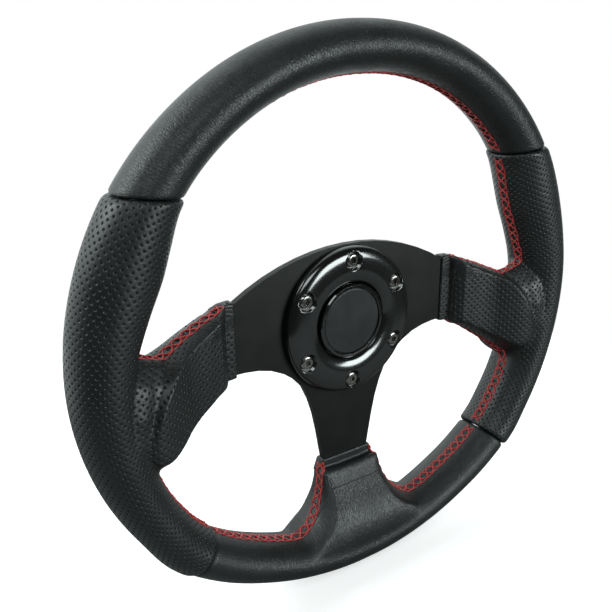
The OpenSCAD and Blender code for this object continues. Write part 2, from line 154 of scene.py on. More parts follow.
def loft(rings, tips=(None, None)):
    """Vertices and faces of a solid through sections that have the same number of points.

    Each end is closed toward its tip, or toward its own middle.
    """
    rings = [np.asarray(r, float) for r in rings]
    m, n = len(rings), len(rings[0])
    verts = [tuple(p) for ring in rings for p in ring]
    faces = [(i * n + k, (i + 1) * n + k, (i + 1) * n + (k + 1) % n, i * n + (k + 1) % n)
             for i in range(m - 1) for k in range(n)]
    for end, start in ((0, 0), (-1, (m - 1) * n)):
        centre = len(verts)
        verts.append(tuple(rings[end].mean(axis=0) if tips[end] is None else tips[end]))
        for k in range(n):
            a, b = start + k, start + (k + 1) % n
            faces.append((centre, b, a) if end else (centre, a, b))
    return verts, faces


def joined(*solids):
    """One list of vertices and one of faces from several solids."""
    verts, faces = [], []
    for v, f in solids:
        base = len(verts)
        verts += list(v)
        faces += [tuple(i + base for i in face) for face in f]
    return verts, faces


def mesh_object(name, verts, faces, smooth=True):
    mesh = bpy.data.meshes.new(name)
    mesh.from_pydata([Vector(v) * MM for v in verts], [], faces)
    mesh.update()
    if smooth:
        mesh.polygons.foreach_set("use_smooth", [True] * len(mesh.polygons))
    obj = bpy.data.objects.new(name, mesh)
    bpy.context.scene.collection.objects.link(obj)
    return obj


def outward(obj):
    """Turns the faces of a closed mesh so that they all look outward."""
    mesh = obj.data
    co = coords(mesh)
    mesh.calc_loop_triangles()
    tri = np.array([t.vertices[:] for t in mesh.loop_triangles])
    a, b, c = co[tri[:, 0]], co[tri[:, 1]], co[tri[:, 2]]
    if np.einsum("ij,ij->i", a, np.cross(b, c)).sum() < 0:
        mesh.flip_normals()


def coords(mesh):
    out = np.empty(len(mesh.vertices) * 3)
    mesh.vertices.foreach_get("co", out)
    return out.reshape(-1, 3)


def normals(mesh):
    out = np.empty(len(mesh.vertices) * 3)
    mesh.vertex_normals.foreach_get("vector", out)
    return out.reshape(-1, 3)


def set_coords(mesh, co):
    mesh.vertices.foreach_set("co", np.ascontiguousarray(co, dtype=np.float32).ravel())
    mesh.update()


def applied(obj, *modifiers):
    """Gives the object modifiers, each a type with its settings, and applies them."""
    for kind, settings in modifiers:
        mod = obj.modifiers.new(kind.lower(), kind)
        for key, value in settings.items():
            setattr(mod, key, value)
    graph = bpy.context.evaluated_depsgraph_get()
    result = bpy.data.meshes.new_from_object(obj.evaluated_get(graph))
    old = obj.data
    obj.modifiers.clear()
    obj.data = result
    bpy.data.meshes.remove(old)
    result.polygons.foreach_set("use_smooth", [True] * len(result.polygons))


def moulded(obj, voxel_mm, passes):
    """Melts overlapping solids into one skin and rounds its edges."""
    applied(obj, ("REMESH", {"mode": "VOXEL", "voxel_size": voxel_mm * MM}),
            ("SMOOTH", {"factor": 0.5, "iterations": passes}))


def lined(obj, solids, voxel_mm, passes):
    """Makes a filled cover hollow, with a wall of leather, and returns the shape of the room inside it."""
    room = mesh_object(obj.name + "_room", *joined(*solids))
    moulded(room, voxel_mm, passes)
    mesh = room.data
    co, nm = coords(mesh) / MM, normals(mesh)
    faces = [p.vertices[:] for p in mesh.polygons]
    bpy.data.objects.remove(room)
    outer = obj.data
    base = len(outer.vertices)
    wall = co - nm * LEATHER_T
    verts = np.concatenate([coords(outer), wall * MM])
    both = [p.vertices[:] for p in outer.polygons]
    both += [tuple(base + i for i in reversed(face)) for face in faces]
    worn = np.empty(base * 3)
    outer.attributes["hide"].data.foreach_get("vector", worn)
    hide = np.zeros((len(verts), 3))
    hide[:base] = worn.reshape(-1, 3)
    shell = bpy.data.meshes.new(obj.name)
    shell.from_pydata(verts.tolist(), [], both)
    shell.polygons.foreach_set("use_smooth", [True] * len(both))
    point_attribute(shell, "hide", hide)
    obj.data = shell
    return [tuple(v) for v in co - nm * (LEATHER_T + FOAM_GAP)], faces


def relaxed(obj, weight, voxel_mm, reach_mm):
    """Stretches the hide over hollows: each point moves to the mean of its neighbours, by its weight."""
    mesh = obj.data
    co = coords(mesh)
    edges = np.empty(len(mesh.edges) * 2, dtype=np.int32)
    mesh.edges.foreach_get("vertices", edges)
    a, b = edges.reshape(-1, 2).T
    moving = weight > 0.01
    keep = moving[a] | moving[b]
    a, b = a[keep], b[keep]
    size = len(co)
    count = np.maximum(np.bincount(a, minlength=size) + np.bincount(b, minlength=size), 1)
    for _ in range(int(2 * (reach_mm / voxel_mm) ** 2)):
        mean = np.stack([np.bincount(a, co[b, i], size) + np.bincount(b, co[a, i], size)
                         for i in range(3)], axis=1) / count[:, None]
        co = np.where(moving[:, None], co + 0.5 * weight[:, None] * (mean - co), co)
    set_coords(mesh, co)


def point_attribute(mesh, name, values):
    layer = mesh.attributes.new(name, "FLOAT_VECTOR", "POINT")
    layer.data.foreach_set("vector", np.ascontiguousarray(values, dtype=np.float32).ravel())


def mirrored(obj, name):
    """Copy of the piece on the other side of the wheel."""
    mesh = obj.data.copy()
    mesh.name = name
    mesh.transform(Matrix.Scale(-1, 4, (1, 0, 0)))
    mesh.flip_normals()
    copy = bpy.data.objects.new(name, mesh)
    bpy.context.scene.collection.objects.link(copy)
    return copy


# ---- Leather covers ----

def rim_section(t, swell, n, roll):
    """Radii and y of the rim's section at angle t, where the hide has turned in by roll."""
    half = (outer_r(t) - inner_r(t)) / 2
    mid = outer_r(t) - half
    a = np.linspace(0, 2 * np.pi, n, endpoint=False)
    r = mid + (half + swell - roll) * np.cos(a)
    y = RIM_Y + (RIM_HALF_DEPTH + swell - roll) * np.sin(a)
    return r, y


def joint_shift(r):
    """How far an upper joint leans, at radius r, from its angle on the inside of the rim."""
    outside, inside = UPPER_JOINT
    low, high = float(inner_r(inside)), float(outer_r(outside))
    return (outside - inside) * (r - low) / (high - low)


def cover_tube(t0, t1, lean0, lean1, swell, n=96, step_mm=1.2):
    """Tube of the rim from t0 to t1, whose ends roll inward.

    An end leans with the upper joint where its lean is 1, or -1 on the other side of the wheel.
    """
    length = abs(t1 - t0) * math.pi / 180 * UNROLL_R
    count = max(8, int(length / step_mm))
    at = np.linspace(0, length, count + 1)
    fine = END_EDGE * (1 - np.cos(np.linspace(0, np.pi / 2, 7)))
    middle = at[(at > END_EDGE * 1.2) & (at < length - END_EDGE * 1.2)]
    rings = []
    for s in np.unique(np.concatenate([fine, middle, length - fine])):
        t = t0 + (t1 - t0) * s / length
        rounding = max(0.0, 1 - min(s, length - s) / END_EDGE)
        r, y = rim_section(t, swell, n, END_ROLL * (1 - math.sqrt(max(0.0, 1 - rounding ** 2))))
        shift = 0.0
        for lean, to_end in ((lean0, s), (lean1, length - s)):
            if lean:
                shift = shift + smoothstep(1 - to_end / (0.6 * length)) * lean * joint_shift(r)
        w = np.radians(t + shift)
        rings.append(np.stack([r * np.cos(w), y, r * np.sin(w)], axis=1))
    return loft(rings)


# Outline of the right spoke's pad at its seam, and the edge of its raised front, as (x, z)
PAD_SEAM = [(77.6, 23.6), (82, 22.2), (88, 20.2), (98, 16.2), (108, 11.8), (116, 8.6), (124, 6),
            (134, 2), (141, -10), (143, -25), (141, -46), (130, -51), (120, -48), (113, -40.5),
            (104, -34), (92, -26), (84, -21), (77.6, -17.4), (77.6, -2), (77.6, 13)]
PAD_RIDGE = [(83.2, 18.6), (87, 17), (92, 14.8), (98, 11.9), (104, 9.2), (108.5, 7.2), (111.5, 5),
             (114.5, 2), (117.6, -2), (120.6, -6.5), (123.6, -12), (126.4, -19), (128.4, -26), (128.8, -32),
             (126, -36), (121, -37.4), (115, -35), (108, -31), (100, -26.4), (91, -21.4), (86.4, -18.4),
             (83.2, -16), (83.2, -3), (83.2, 9)]
# Against x: how far the pad stands in front of the plate's back, how far behind it, and its spine's z
PAD_FRONT = [(77, 12.6), (83, 13.6), (92, 16.2), (98, 17.8), (104, 20.4), (108, 23.2), (112, 26), (117, 29),
             (122, 31), (130, 32.4), (141, 32)]
PAD_BACK = [(77, 3.0), (104, 3.2), (120, 2.4), (143, 1.4)]
PAD_SPINE = [(77, 3), (98, -9), (112, -18), (125, -30), (143, -36)]
# Rows of balls that fill the corner between the rim and the pad's top, as (x, y, z, radius)
GRIP_BULGE = [[(121.5, -14.5, 2.6, 8.2), (124.5, -16.8, -4, 10.6), (127.8, -17.6, -11, 11.4),
               (131, -18, -19, 11.6), (134, -18, -27, 11.4), (136.5, -18, -36, 11)],
              [(127.4, -14.8, 4.6, 8.6), (132, -17.6, -3, 12), (134.5, -18.6, -12, 12.6),
               (137, -19, -24, 12.6)]]
# Half of the lower pad's seam and of its raised front, as (x, distance below the middle)
LOWER_SEAM = [(19.2, 90.2), (21.2, 96), (23.8, 104), (27.8, 111), (33.6, 117), (43, 122.6), (45, 130),
              (30, 137), (12, 138)]
LOWER_RIDGE = [(14.8, 93.4), (16.4, 98), (18.6, 105), (22, 112.5), (28, 118.5), (37, 124), (36, 129),
               (24, 133), (10, 134)]
LOWER_FRONT = [(90, 10.2), (97, 13.8), (104, 18.4), (112, 24.2), (120, 28.6), (128, 30.6), (134, 30.6)]
LOWER_BACK = [(90, 3.0), (110, 2.6), (124, 1.2), (138, 0)]
LOWER_SPINE = [(84, 0), (138, 0)]


def resampled(points, n):
    """n places along a smooth closed line through points."""
    p = np.array(points, float)
    m = len(p)
    fine = []
    for i in range(m):
        a, b, c, d = p[i - 1], p[i], p[(i + 1) % m], p[(i + 2) % m]
        for u in np.linspace(0, 1, 8, endpoint=False):
            fine.append(0.5 * (2 * b + (c - a) * u + (2 * a - 5 * b + 4 * c - d) * u**2
                               + (3 * b - a - 3 * c + d) * u**3))
    fine = np.array(fine)
    return fine[(np.arange(n) * len(fine)) // n]


def pad_solid(seam, ridge, front, back, spine, seam_y, n=160):
    """Wedge whose walls lean in from the seam to the raised front, along a spoke that points to +X."""
    outer, top = resampled(seam, n), resampled(ridge, n)
    rings = []

    def add(plan, y):
        rings.append(np.stack([plan[:, 0], np.broadcast_to(y, n), plan[:, 1]], axis=1))

    def toward_spine(plan, share):
        return np.stack([plan[:, 0], plan[:, 1] + share * (curve(plan[:, 0], spine) - plan[:, 1])], axis=1)

    front_y = -curve(top[:, 0], front)
    centre = outer.mean(axis=0)
    inward = (centre - outer) / np.linalg.norm(centre - outer, axis=1)[:, None]
    for share in (1.0, 0.5, 0.15):
        plan = toward_spine(outer + 3.6 * inward, share)
        add(plan, curve(plan[:, 0], back))
    back_y = curve(outer[:, 0], back)
    for drop, inset in ((0.0, 3.4), (0.3, 1.7), (0.65, 0.5), (1.0, 0.0)):
        add(outer + inset * inward, back_y + (seam_y - back_y) * drop)
    for rise, share in ((0.25, 0.09), (0.5, 0.28), (0.75, 0.6), (0.9, 0.84), (1.0, 1.0)):
        add(outer + (top - outer) * share, seam_y + (front_y - seam_y) * rise)
    for share in (0.15, 0.4, 0.7, 1.0):
        plan = toward_spine(top, share)
        add(plan, -curve(plan[:, 0], front))
    inside = (centre[0], seam_y, float(curve(centre[0], spine)))
    return loft(rings, tips=(inside, inside))


def between(row, count):
    """The same row of balls, filled up so that each of its steps becomes count steps."""
    row = np.array(row, float)
    at = np.linspace(0, len(row) - 1, count * (len(row) - 1) + 1)
    return np.stack([np.interp(at, range(len(row)), row[:, i]) for i in range(4)], axis=1)


def ball(x, y, z, r, n=24):
    """Ball that fills out the leather."""
    rings = []
    for w in np.linspace(0, np.pi, n)[1:-1]:
        around = np.linspace(0, 2 * np.pi, n, endpoint=False)
        rings.append(np.stack([x + r * np.sin(w) * np.cos(around), y + r * np.sin(w) * np.sin(around),
                               np.full(n, z + r * np.cos(w))], axis=1))
    return loft(rings)


def rounded_bar(corners, y_front, y_back, r=0.5):
    """Flat bar with the given corners in plan and eased edges."""
    c = np.array(corners, float)
    mid = c.mean(axis=0)
    rings = []
    for y, inset in ((y_front, r), (y_front + r, 0), (y_back - r, 0), (y_back, r)):
        plan = c - (c - mid) / np.linalg.norm(c - mid, axis=1)[:, None] * inset
        rings.append(np.stack([plan[:, 0], np.full(len(c), y), plan[:, 1]], axis=1))
    return loft(rings)


def pattern_coords(co, nm, side_pads):
    """Where each point lies on the flat hide, in millimetres, so that pores keep their pitch."""
    x, y, z = co[:, 0], co[:, 1], co[:, 2]
    r = np.hypot(x, z)
    t = np.degrees(np.arctan2(z, x))
    r_in, r_out = inner_r(t), outer_r(t)
    half = (r_out - r_in) / 2
    a = np.arctan2((y - RIM_Y) / RIM_HALF_DEPTH, (r - (r_out - half)) / half)
    u, v = np.radians(t) * UNROLL_R, a * WRAP_R
    punched = np.ones(len(co))
    if side_pads:
        mid = r_out - half
        beside = smoothstep((18 - z) / 8) * smoothstep((z + 62) / 12) * (r < mid)
        on_cuff = (x < 88) & (nm[:, 1] < -0.5)
        front = beside * np.maximum(smoothstep((-7 - y) / 4), on_cuff) * smoothstep((mid - r) / 12)
        punched = 1 - (front > 0.3) * smoothstep((0.55 - np.abs(nm[:, 1])) / 0.2)
        u = u + front * (z - u)
        v = v + front * (-QUARTER_WRAP - (mid - x) - v)
        behind = (beside > 0.5) & (nm[:, 1] > 0.35) & (r < r_in + 4)
        u = np.where(behind, z * 1.12, u)
        v = np.where(behind, (r_in - x) + WRAP_R * BACK_ANGLE, v)
        wall = (beside > 0.5) & (x < 118) & (np.abs(nm[:, 1]) < 0.45) & (np.abs(nm[:, 2]) > 0.5)
        u = np.where(wall, x, u)
        v = np.where(wall, y, v)
        punched = np.where(wall, 1.0, punched)
    else:
        on_pad = smoothstep((48 - np.abs(x)) / 12) * smoothstep((-z - 40) / 20)
        on_pad = on_pad * smoothstep((r_out - half - r) / 12)
        side = np.where(y < RIM_Y, -1, 1)
        u = u + on_pad * (x - UNROLL_R * np.pi / 2 - u)
        v = v + on_pad * (side * (QUARTER_WRAP + r_out - half + z) - v)
    return u, v, punched


def pore_mask(u, v, soft=0.26):
    """1 in a pore and 0 outside it, with a soft edge."""
    q1, q2 = (u + v) / PORE_CELL, (u - v) / PORE_CELL
    f1, f2 = q1 - np.round(q1), q2 - np.round(q2)
    d = PORE_PITCH * np.hypot(f1, f2)
    return smoothstep((PORE_R + soft - d) / (2 * soft))


def seam_groove(co, path):
    """How deep the slit between two hides is at each point, from 0 to 1 on the seam's path."""
    path = np.array(path, float)
    length = np.concatenate([[0], np.cumsum(np.linalg.norm(np.diff(path, axis=0), axis=1))])
    s = np.arange(0, length[-1], 0.6)
    line = np.stack([np.interp(s, length, path[:, i]) for i in range(3)], axis=1)
    low, high = line.min(axis=0) - 3, line.max(axis=0) + 3
    near = np.flatnonzero(((co > low) & (co < high)).all(axis=1))
    depth = np.zeros(len(co))
    for part in np.array_split(near, max(1, len(near) // 20000)):
        if len(part):
            gap = np.sqrt(((co[part, None, :] - line[None, :, :]) ** 2).sum(axis=2).min(axis=1))
            depth[part] = np.exp(-((gap / 0.9) ** 2))
    return depth


def finish_leather(obj, perforated, seams):
    """Adds the hide's own coordinates, the slits of its seams and, on the grips, the punched pores."""
    mesh = obj.data
    co, nm = coords(mesh) / MM, normals(mesh)
    u, v, punched = pattern_coords(co, nm, perforated)
    depth = np.zeros(len(co))
    for path in seams:
        depth = np.maximum(depth, SLIT_DEPTH * seam_groove(co, path))
    if perforated:
        past_cuff_end = smoothstep((co[:, 0] - 71.8) / 0.8)
        depth = depth + PORE_DEPTH * pore_mask(u, v) * past_cuff_end * punched
    set_coords(mesh, (co - nm * depth[:, None]) * MM)
    point_attribute(mesh, "hide", np.stack([u, v, punched], axis=1))


def past_inner_edge(co):
    """Distance of each point from the rim's inner outline, seen from the front."""
    x, _, z = co.T
    return np.hypot(x, z) - inner_r(np.degrees(np.arctan2(z, x)))


def grip_cover():
    """Right grip: its hide, the surface that its lacing lies on, and the room inside it."""
    tube = cover_tube(LOWER_JOINT + JOINT_GAP, UPPER_JOINT[1] - JOINT_GAP, 0, 1.0, GRIP_SWELL)
    pad = pad_solid(PAD_SEAM, PAD_RIDGE, PAD_FRONT, PAD_BACK, PAD_SPINE, SEAM_Y)
    cuff = rounded_bar([(71.2, 24.5), (78, 24), (83, 22), (84, -18), (78, -17.8), (71.2, -17)],
                       CUFF_FRONT, CUFF_BACK)
    bulge = [ball(*b) for row in GRIP_BULGE for b in between(row, BULGE_STEPS)]
    obj = mesh_object("right_grip_leather", *joined(tube, pad, cuff, *bulge))
    outward(obj)
    moulded(obj, GRIP_VOXEL, 5)
    co = coords(obj.data) / MM
    y, z = co[:, 1], co[:, 2]
    corner = np.exp(-((past_inner_edge(co) / STRETCH_W) ** 2)) * (np.abs(z + 20) < 60)
    flowing = corner * smoothstep((-12 - z) / 14) * (y < -8)
    tucked = 0.35 * corner * smoothstep((20 - np.abs(z - 8)) / 10)
    relaxed(obj, np.clip(np.maximum(flowing, tucked), 0, 1), GRIP_VOXEL, STRETCH_REACH)
    finish_leather(obj, True, grip_seams())
    skin = bvh(obj)
    return obj, skin, lined(obj, [tube, pad, cuff, *bulge], ROOM_VOXEL, 8)


def around_spoke(half):
    """Whole outline of the lower pad, with its spoke laid along +X."""
    one_side = [(z, x) for x, z in half]
    return one_side + [(z, -x) for z, x in reversed(one_side)] + [(half[0][1], -7), (half[0][1], 7)]


def lower_cover():
    """Lower rim and spoke: the hide, the surface that its lacing lies on, and the room inside it."""
    tube = cover_tube(-180 - LOWER_JOINT + JOINT_GAP, LOWER_JOINT - JOINT_GAP, 0, 0, SMOOTH_SWELL)
    verts, faces = pad_solid(around_spoke(LOWER_SEAM), around_spoke(LOWER_RIDGE), LOWER_FRONT, LOWER_BACK,
                             LOWER_SPINE, LOWER_SEAM_Y)
    pad = [(-z, y, -x) for x, y, z in verts], faces
    cuff = rounded_bar([(17.4, -84.4), (20.2, -92), (18, -97), (-18, -97), (-20.2, -92), (-17.4, -84.4)],
                       CUFF_FRONT, CUFF_BACK)
    obj = mesh_object("lower_leather", *joined(tube, pad, cuff))
    outward(obj)
    moulded(obj, SMOOTH_VOXEL, 4)
    co = coords(obj.data) / MM
    x, z = co[:, 0], co[:, 2]
    flowing = np.exp(-((past_inner_edge(co) / STRETCH_W) ** 2)) * smoothstep((52 - np.abs(x)) / 8) * (z < 0)
    relaxed(obj, np.clip(flowing, 0, 1), SMOOTH_VOXEL, STRETCH_REACH)
    finish_leather(obj, False, lower_seams())
    skin = bvh(obj)
    return obj, skin, lined(obj, [tube, pad, cuff], ROOM_VOXEL, 8)


def top_cover():
    """Upper rim: the hide, the surface that its lacing lies on, and the room inside it."""
    first = UPPER_JOINT[1] + JOINT_GAP
    tube = cover_tube(first, 180 - first, 1.0, -1.0, SMOOTH_SWELL, n=112)
    obj = mesh_object("top_leather", *tube)
    outward(obj)
    finish_leather(obj, False, [rim_seam(first - 2, 182 - first)])
    skin = bvh(obj)
    return obj, skin, lined(obj, [tube], 2.0, 2)


# ---- Lacing ----

def on_surface(tree, guess):
    """Nearest point of the leather."""
    return np.array(tree.find_nearest(Vector(guess) * MM)[0]) / MM


def surface_normal(tree, guess):
    """Outward direction of the leather at its nearest point."""
    return np.array(tree.find_nearest(Vector(guess) * MM)[1])


def evened(rows, width):
    """Running mean of rows."""
    half = width // 2
    longer = np.concatenate([rows[:1]] * half + [rows] + [rows[-1:]] * half)
    return np.stack([np.convolve(longer[:, i], np.ones(width) / width, "valid")
                     for i in range(rows.shape[1])], axis=1)


def seam_frames(path, tree, pitch):
    """Even stations along a seam: place on the leather, outward direction and direction across."""
    path = np.array(path, float)
    length = np.concatenate([[0], np.cumsum(np.linalg.norm(np.diff(path, axis=0), axis=1))])
    count = max(2, int(round(length[-1] / pitch)) * STEPS)
    s = np.linspace(0, length[-1], count + 1)
    guess = np.stack([np.interp(s, length, path[:, i]) for i in range(3)], axis=1)
    places = evened(np.array([on_surface(tree, g) for g in guess]), 7)
    outs = evened(np.array([surface_normal(tree, g) for g in guess]), 11)
    outs /= np.linalg.norm(outs, axis=1)[:, None]
    along = np.gradient(places, axis=0)
    along /= np.linalg.norm(along, axis=1)[:, None]
    across = np.cross(along, outs)
    across /= np.linalg.norm(across, axis=1)[:, None]
    return places, outs, across


def thread(points, radius, sides=6):
    """Round thread or wire along points."""
    p = np.array(points, float)
    along = np.gradient(p, axis=0)
    along /= np.linalg.norm(along, axis=1)[:, None] + 1e-9
    ref = np.array([0.31, 0.87, 0.38])
    rings = []
    for c, d in zip(p, along):
        a = np.cross(d, ref)
        a /= np.linalg.norm(a) + 1e-9
        b = np.cross(d, a)
        w = np.linspace(0, 2 * np.pi, sides, endpoint=False)
        rings.append(c + radius * (np.cos(w)[:, None] * a + np.sin(w)[:, None] * b))
    return loft(rings)


def lace(path, tree):
    """Crossed lacing over a seam, with a row of short stitches along each of its sides."""
    places, outs, across = seam_frames(path, tree, STITCH_PITCH)
    n = len(places)
    rng = np.random.default_rng(n)
    wander = rng.uniform(-0.12, 0.12, n // STEPS + 2)

    def spot(i, side, lift):
        i = min(max(i, 0), n - 1)
        foot = on_surface(tree, places[i] + across[i] * side * SEAM_HALF_W + outs[i] * 0.3)
        return foot + outs[i] * lift

    solids = []
    for hand in (1, -1):
        points = []
        for i in range(n):
            k, part = divmod(i, STEPS)
            side = hand * (-1) ** k * math.cos(math.pi * part / STEPS) * (1 + wander[k])
            over = 0.75 if (k % 2 == 0) == (hand > 0) else 0.42
            points.append(spot(i, side, over * math.sin(math.pi * part / STEPS) - 0.22))
        solids.append(thread(points, THREAD_R))
    for hand in (1, -1):
        points = [spot(i, hand * (1.12 + wander[i // STEPS]),
                       0.62 * abs(math.sin(math.pi * (i + STEPS / 2) / STEPS)) - 0.36) for i in range(n)]
        solids.append(thread(points, THREAD_R * 0.9))
    return solids


def rim_seam(t0, t1, step=2.0):
    """Path of the seam on the inside of the rim, from angle t0 to t1."""
    ts = np.linspace(t0, t1, max(3, int(abs(t1 - t0) / step)))
    return [(float(inner_r(t)) * math.cos(math.radians(t)), RIM_Y,
             float(inner_r(t)) * math.sin(math.radians(t))) for t in ts]


def grip_seams():
    """Paths of the right grip's seams, above and below its spoke."""
    upper = [(77.6, -3.4, 23.8), (80, -5.4, 22.8), (84, -6, 21.5), (88, -6.2, 20.2), (98, -7.4, 16.2),
             (106, -9, 12.7), (112, -10.8, 10.8), (117, -12.6, 9.8), (121.5, -14, 10.2), (126, -14.8, 12),
             (128.6, -15, 15)]
    upper += rim_seam(9, UPPER_JOINT[1] - 0.8)
    lower = [(77.2, -3, -17.6), (80, -4, -18.6), (84, -4, -21), (92, -4.5, -26), (104, -7, -34),
             (111, -9, -39), (116, -11.5, -44), (119, -14, -50)]
    lower += rim_seam(-26, LOWER_JOINT + 0.8)
    return [upper, lower]


def lower_seams():
    """Paths of the lower cover's seams, to the right and the left of its spoke."""
    right = [(17.8, -3.4, -85.6), (19.2, -5.4, -90), (21.2, -6.4, -96), (23.8, -8.4, -104),
             (27.8, -11, -111), (33, -13.4, -116), (40, -14.8, -118)]
    right += rim_seam(-68, LOWER_JOINT - 0.8)
    return [right, [(-x, y, z) for x, y, z in right]]


def lacing(name, paths, tree):
    """One piece of thread for all the seams of a cover."""
    solids = [s for path in paths for s in lace(path, tree)]
    return mesh_object(name, *joined(*solids))


def bvh(obj):
    """Search tree of a surface, for finding its nearest point."""
    mesh = obj.data
    return BVHTree.FromPolygons([v.co for v in mesh.vertices], [p.vertices[:] for p in mesh.polygons])


# ---- Trim ring ----

RING_R = 42.3
CREST_R = 31.5
RING_BORE_R = 21.7
RING_BACK = -4.0
RING_FRONT = -11.0
RING_EDGE = 1.4      # height of the ring's straight outer edge
FUNNEL_DEPTH = 3.4
RECESS = (26.5, 1.5)      # radius and depth of the collar behind the ring
BOLT_R = 35.0
HEAD_R = 5.25
HEAD_SEAT = -7.6
SHANK_R = 2.65


def turned(profile, n=192):
    """Solid of revolution around the wheel's axis through (radius, y) points of a closed section."""
    rings = [[(r * math.cos(w), y, r * math.sin(w)) for r, y in profile]
             for w in np.linspace(0, 2 * np.pi, n, endpoint=False)]
    m = len(profile)
    verts = [p for ring in rings for p in ring]
    faces = [(i * m + k, i * m + (k + 1) % m, (i + 1) % n * m + (k + 1) % m, (i + 1) % n * m + k)
             for i in range(n) for k in range(m)]
    return verts, faces


def trim_ring():
    """Ring with a full shoulder, a funnel toward the button and a counterbore for each screw."""
    reach = 20.0
    rise = RING_FRONT - RING_BACK + RING_EDGE
    shoulder = [(CREST_R + (RING_R - CREST_R) * math.cos(a) ** 0.55,
                 RING_BACK - RING_EDGE + rise * math.sin(a) ** 0.8)
                for a in np.linspace(0, math.pi / 2, 16)]
    funnel = [(CREST_R - (CREST_R - RING_BORE_R - 0.4) * math.sin(a),
               RING_FRONT + FUNNEL_DEPTH * (1 - math.cos(a)))
              for a in np.linspace(0, math.pi / 2, 12)[1:]]
    profile = [(RECESS[0], RING_BACK), (RING_R - 0.4, RING_BACK), (RING_R, RING_BACK - 0.4),
               *shoulder, *funnel,
               (RING_BORE_R, RING_FRONT + FUNNEL_DEPTH + 0.5), (RING_BORE_R, RING_BACK - RECESS[1]),
               (RECESS[0], RING_BACK - RECESS[1])]
    ring = mesh_object("gloss_ring", *turned(profile))
    outward(ring)
    for k in range(6):
        w = math.radians(90 + 60 * k)
        for radius, y_back in ((HEAD_R, HEAD_SEAT), (SHANK_R, 0.0)):
            bpy.ops.mesh.primitive_cylinder_add(vertices=64, radius=radius * MM,
                                                depth=(y_back + reach) * MM)
            tool = bpy.context.object
            tool.rotation_euler = (math.pi / 2, 0, 0)
            tool.location = Vector((BOLT_R * math.cos(w), (y_back - reach) / 2, BOLT_R * math.sin(w))) * MM
            bpy.context.view_layer.update()
            applied(ring, ("BOOLEAN", {"object": tool, "operation": "DIFFERENCE", "solver": "EXACT"}))
            bpy.data.objects.remove(tool)
    return ring


# ---- Horn spring ----

SPRING_R = 13.5
SPRING_WIRE_R = 0.6
SPRING_TURNS = 3.5
SPRING_FRONT = -5.15
SPRING_BACK = 1.45


def horn_spring():
    """Coil of the horn's spring. Its end turns lie nearly flat on their seats."""
    u = np.linspace(0, 1, 120)
    a = 2 * np.pi * SPRING_TURNS * u
    y = SPRING_FRONT + (SPRING_BACK - SPRING_FRONT) * (u - np.sin(2 * np.pi * u) / 14)
    points = np.stack([SPRING_R * np.cos(a), y, SPRING_R * np.sin(a)], axis=1)
    spring = mesh_object("steel_spring", *thread(points, SPRING_WIRE_R, 12))
    outward(spring)
    return spring


# ---- Materials ----

def material(name):
    """Empty material, its node tree and its shader."""
    mat = bpy.data.materials.new(name)
    mat.use_nodes = True
    tree = mat.node_tree
    tree.nodes.clear()
    out = tree.nodes.new("ShaderNodeOutputMaterial")
    shader = tree.nodes.new("ShaderNodeBsdfPrincipled")
    tree.links.new(shader.outputs[0], out.inputs[0])
    return mat, tree, shader


class Nodes:
    """Short calls for building a node tree."""

    def __init__(self, tree):
        self.tree = tree

    def put(self, kind, values=(), **settings):
        node = self.tree.nodes.new(kind)
        for key, value in settings.items():
            setattr(node, key, value)
        for socket, value in dict(values).items():
            target = node.inputs[socket]
            if isinstance(value, bpy.types.NodeSocket):
                self.tree.links.new(value, target)
            else:
                target.default_value = value
        return node

    def math(self, operation, a, b=0.0):
        return self.put("ShaderNodeMath", {0: a, 1: b}, operation=operation).outputs[0]

    def scaled(self, vector, factors):
        return self.put("ShaderNodeVectorMath", {0: vector, 1: factors}, operation="MULTIPLY").outputs[0]

    def noise(self, vector, scale, detail=4.0, rough=0.55):
        node = self.put("ShaderNodeTexNoise", {"Vector": vector, "Scale": scale, "Detail": detail,
                                               "Roughness": rough})
        return node.outputs["Fac"]

    def to_cell_edge(self, vector, scale):
        node = self.put("ShaderNodeTexVoronoi", {"Vector": vector, "Scale": scale},
                        feature="DISTANCE_TO_EDGE")
        return node.outputs["Distance"]

    def ramp(self, value, low, high, to_low=0.0, to_high=1.0):
        node = self.put("ShaderNodeMapRange", {"Value": value, "From Min": low, "From Max": high,
                                               "To Min": to_low, "To Max": to_high},
                        interpolation_type="SMOOTHSTEP")
        return node.outputs[0]

    def mix(self, factor, a, b):
        return self.put("ShaderNodeMix", {0: factor, 6: a, 7: b}, data_type="RGBA").outputs[2]

    def bump(self, height, distance_mm, normal=None):
        values = {"Height": height, "Distance": distance_mm * MM, "Strength": 1.0}
        if normal is not None:
            values["Normal"] = normal
        return self.put("ShaderNodeBump", values).outputs[0]

    def position(self):
        return self.put("ShaderNodeTexCoord").outputs["Object"]


def grey(v, tint=(1.0, 1.0, 1.0)):
    return (v * tint[0], v * tint[1], v * tint[2], 1.0)


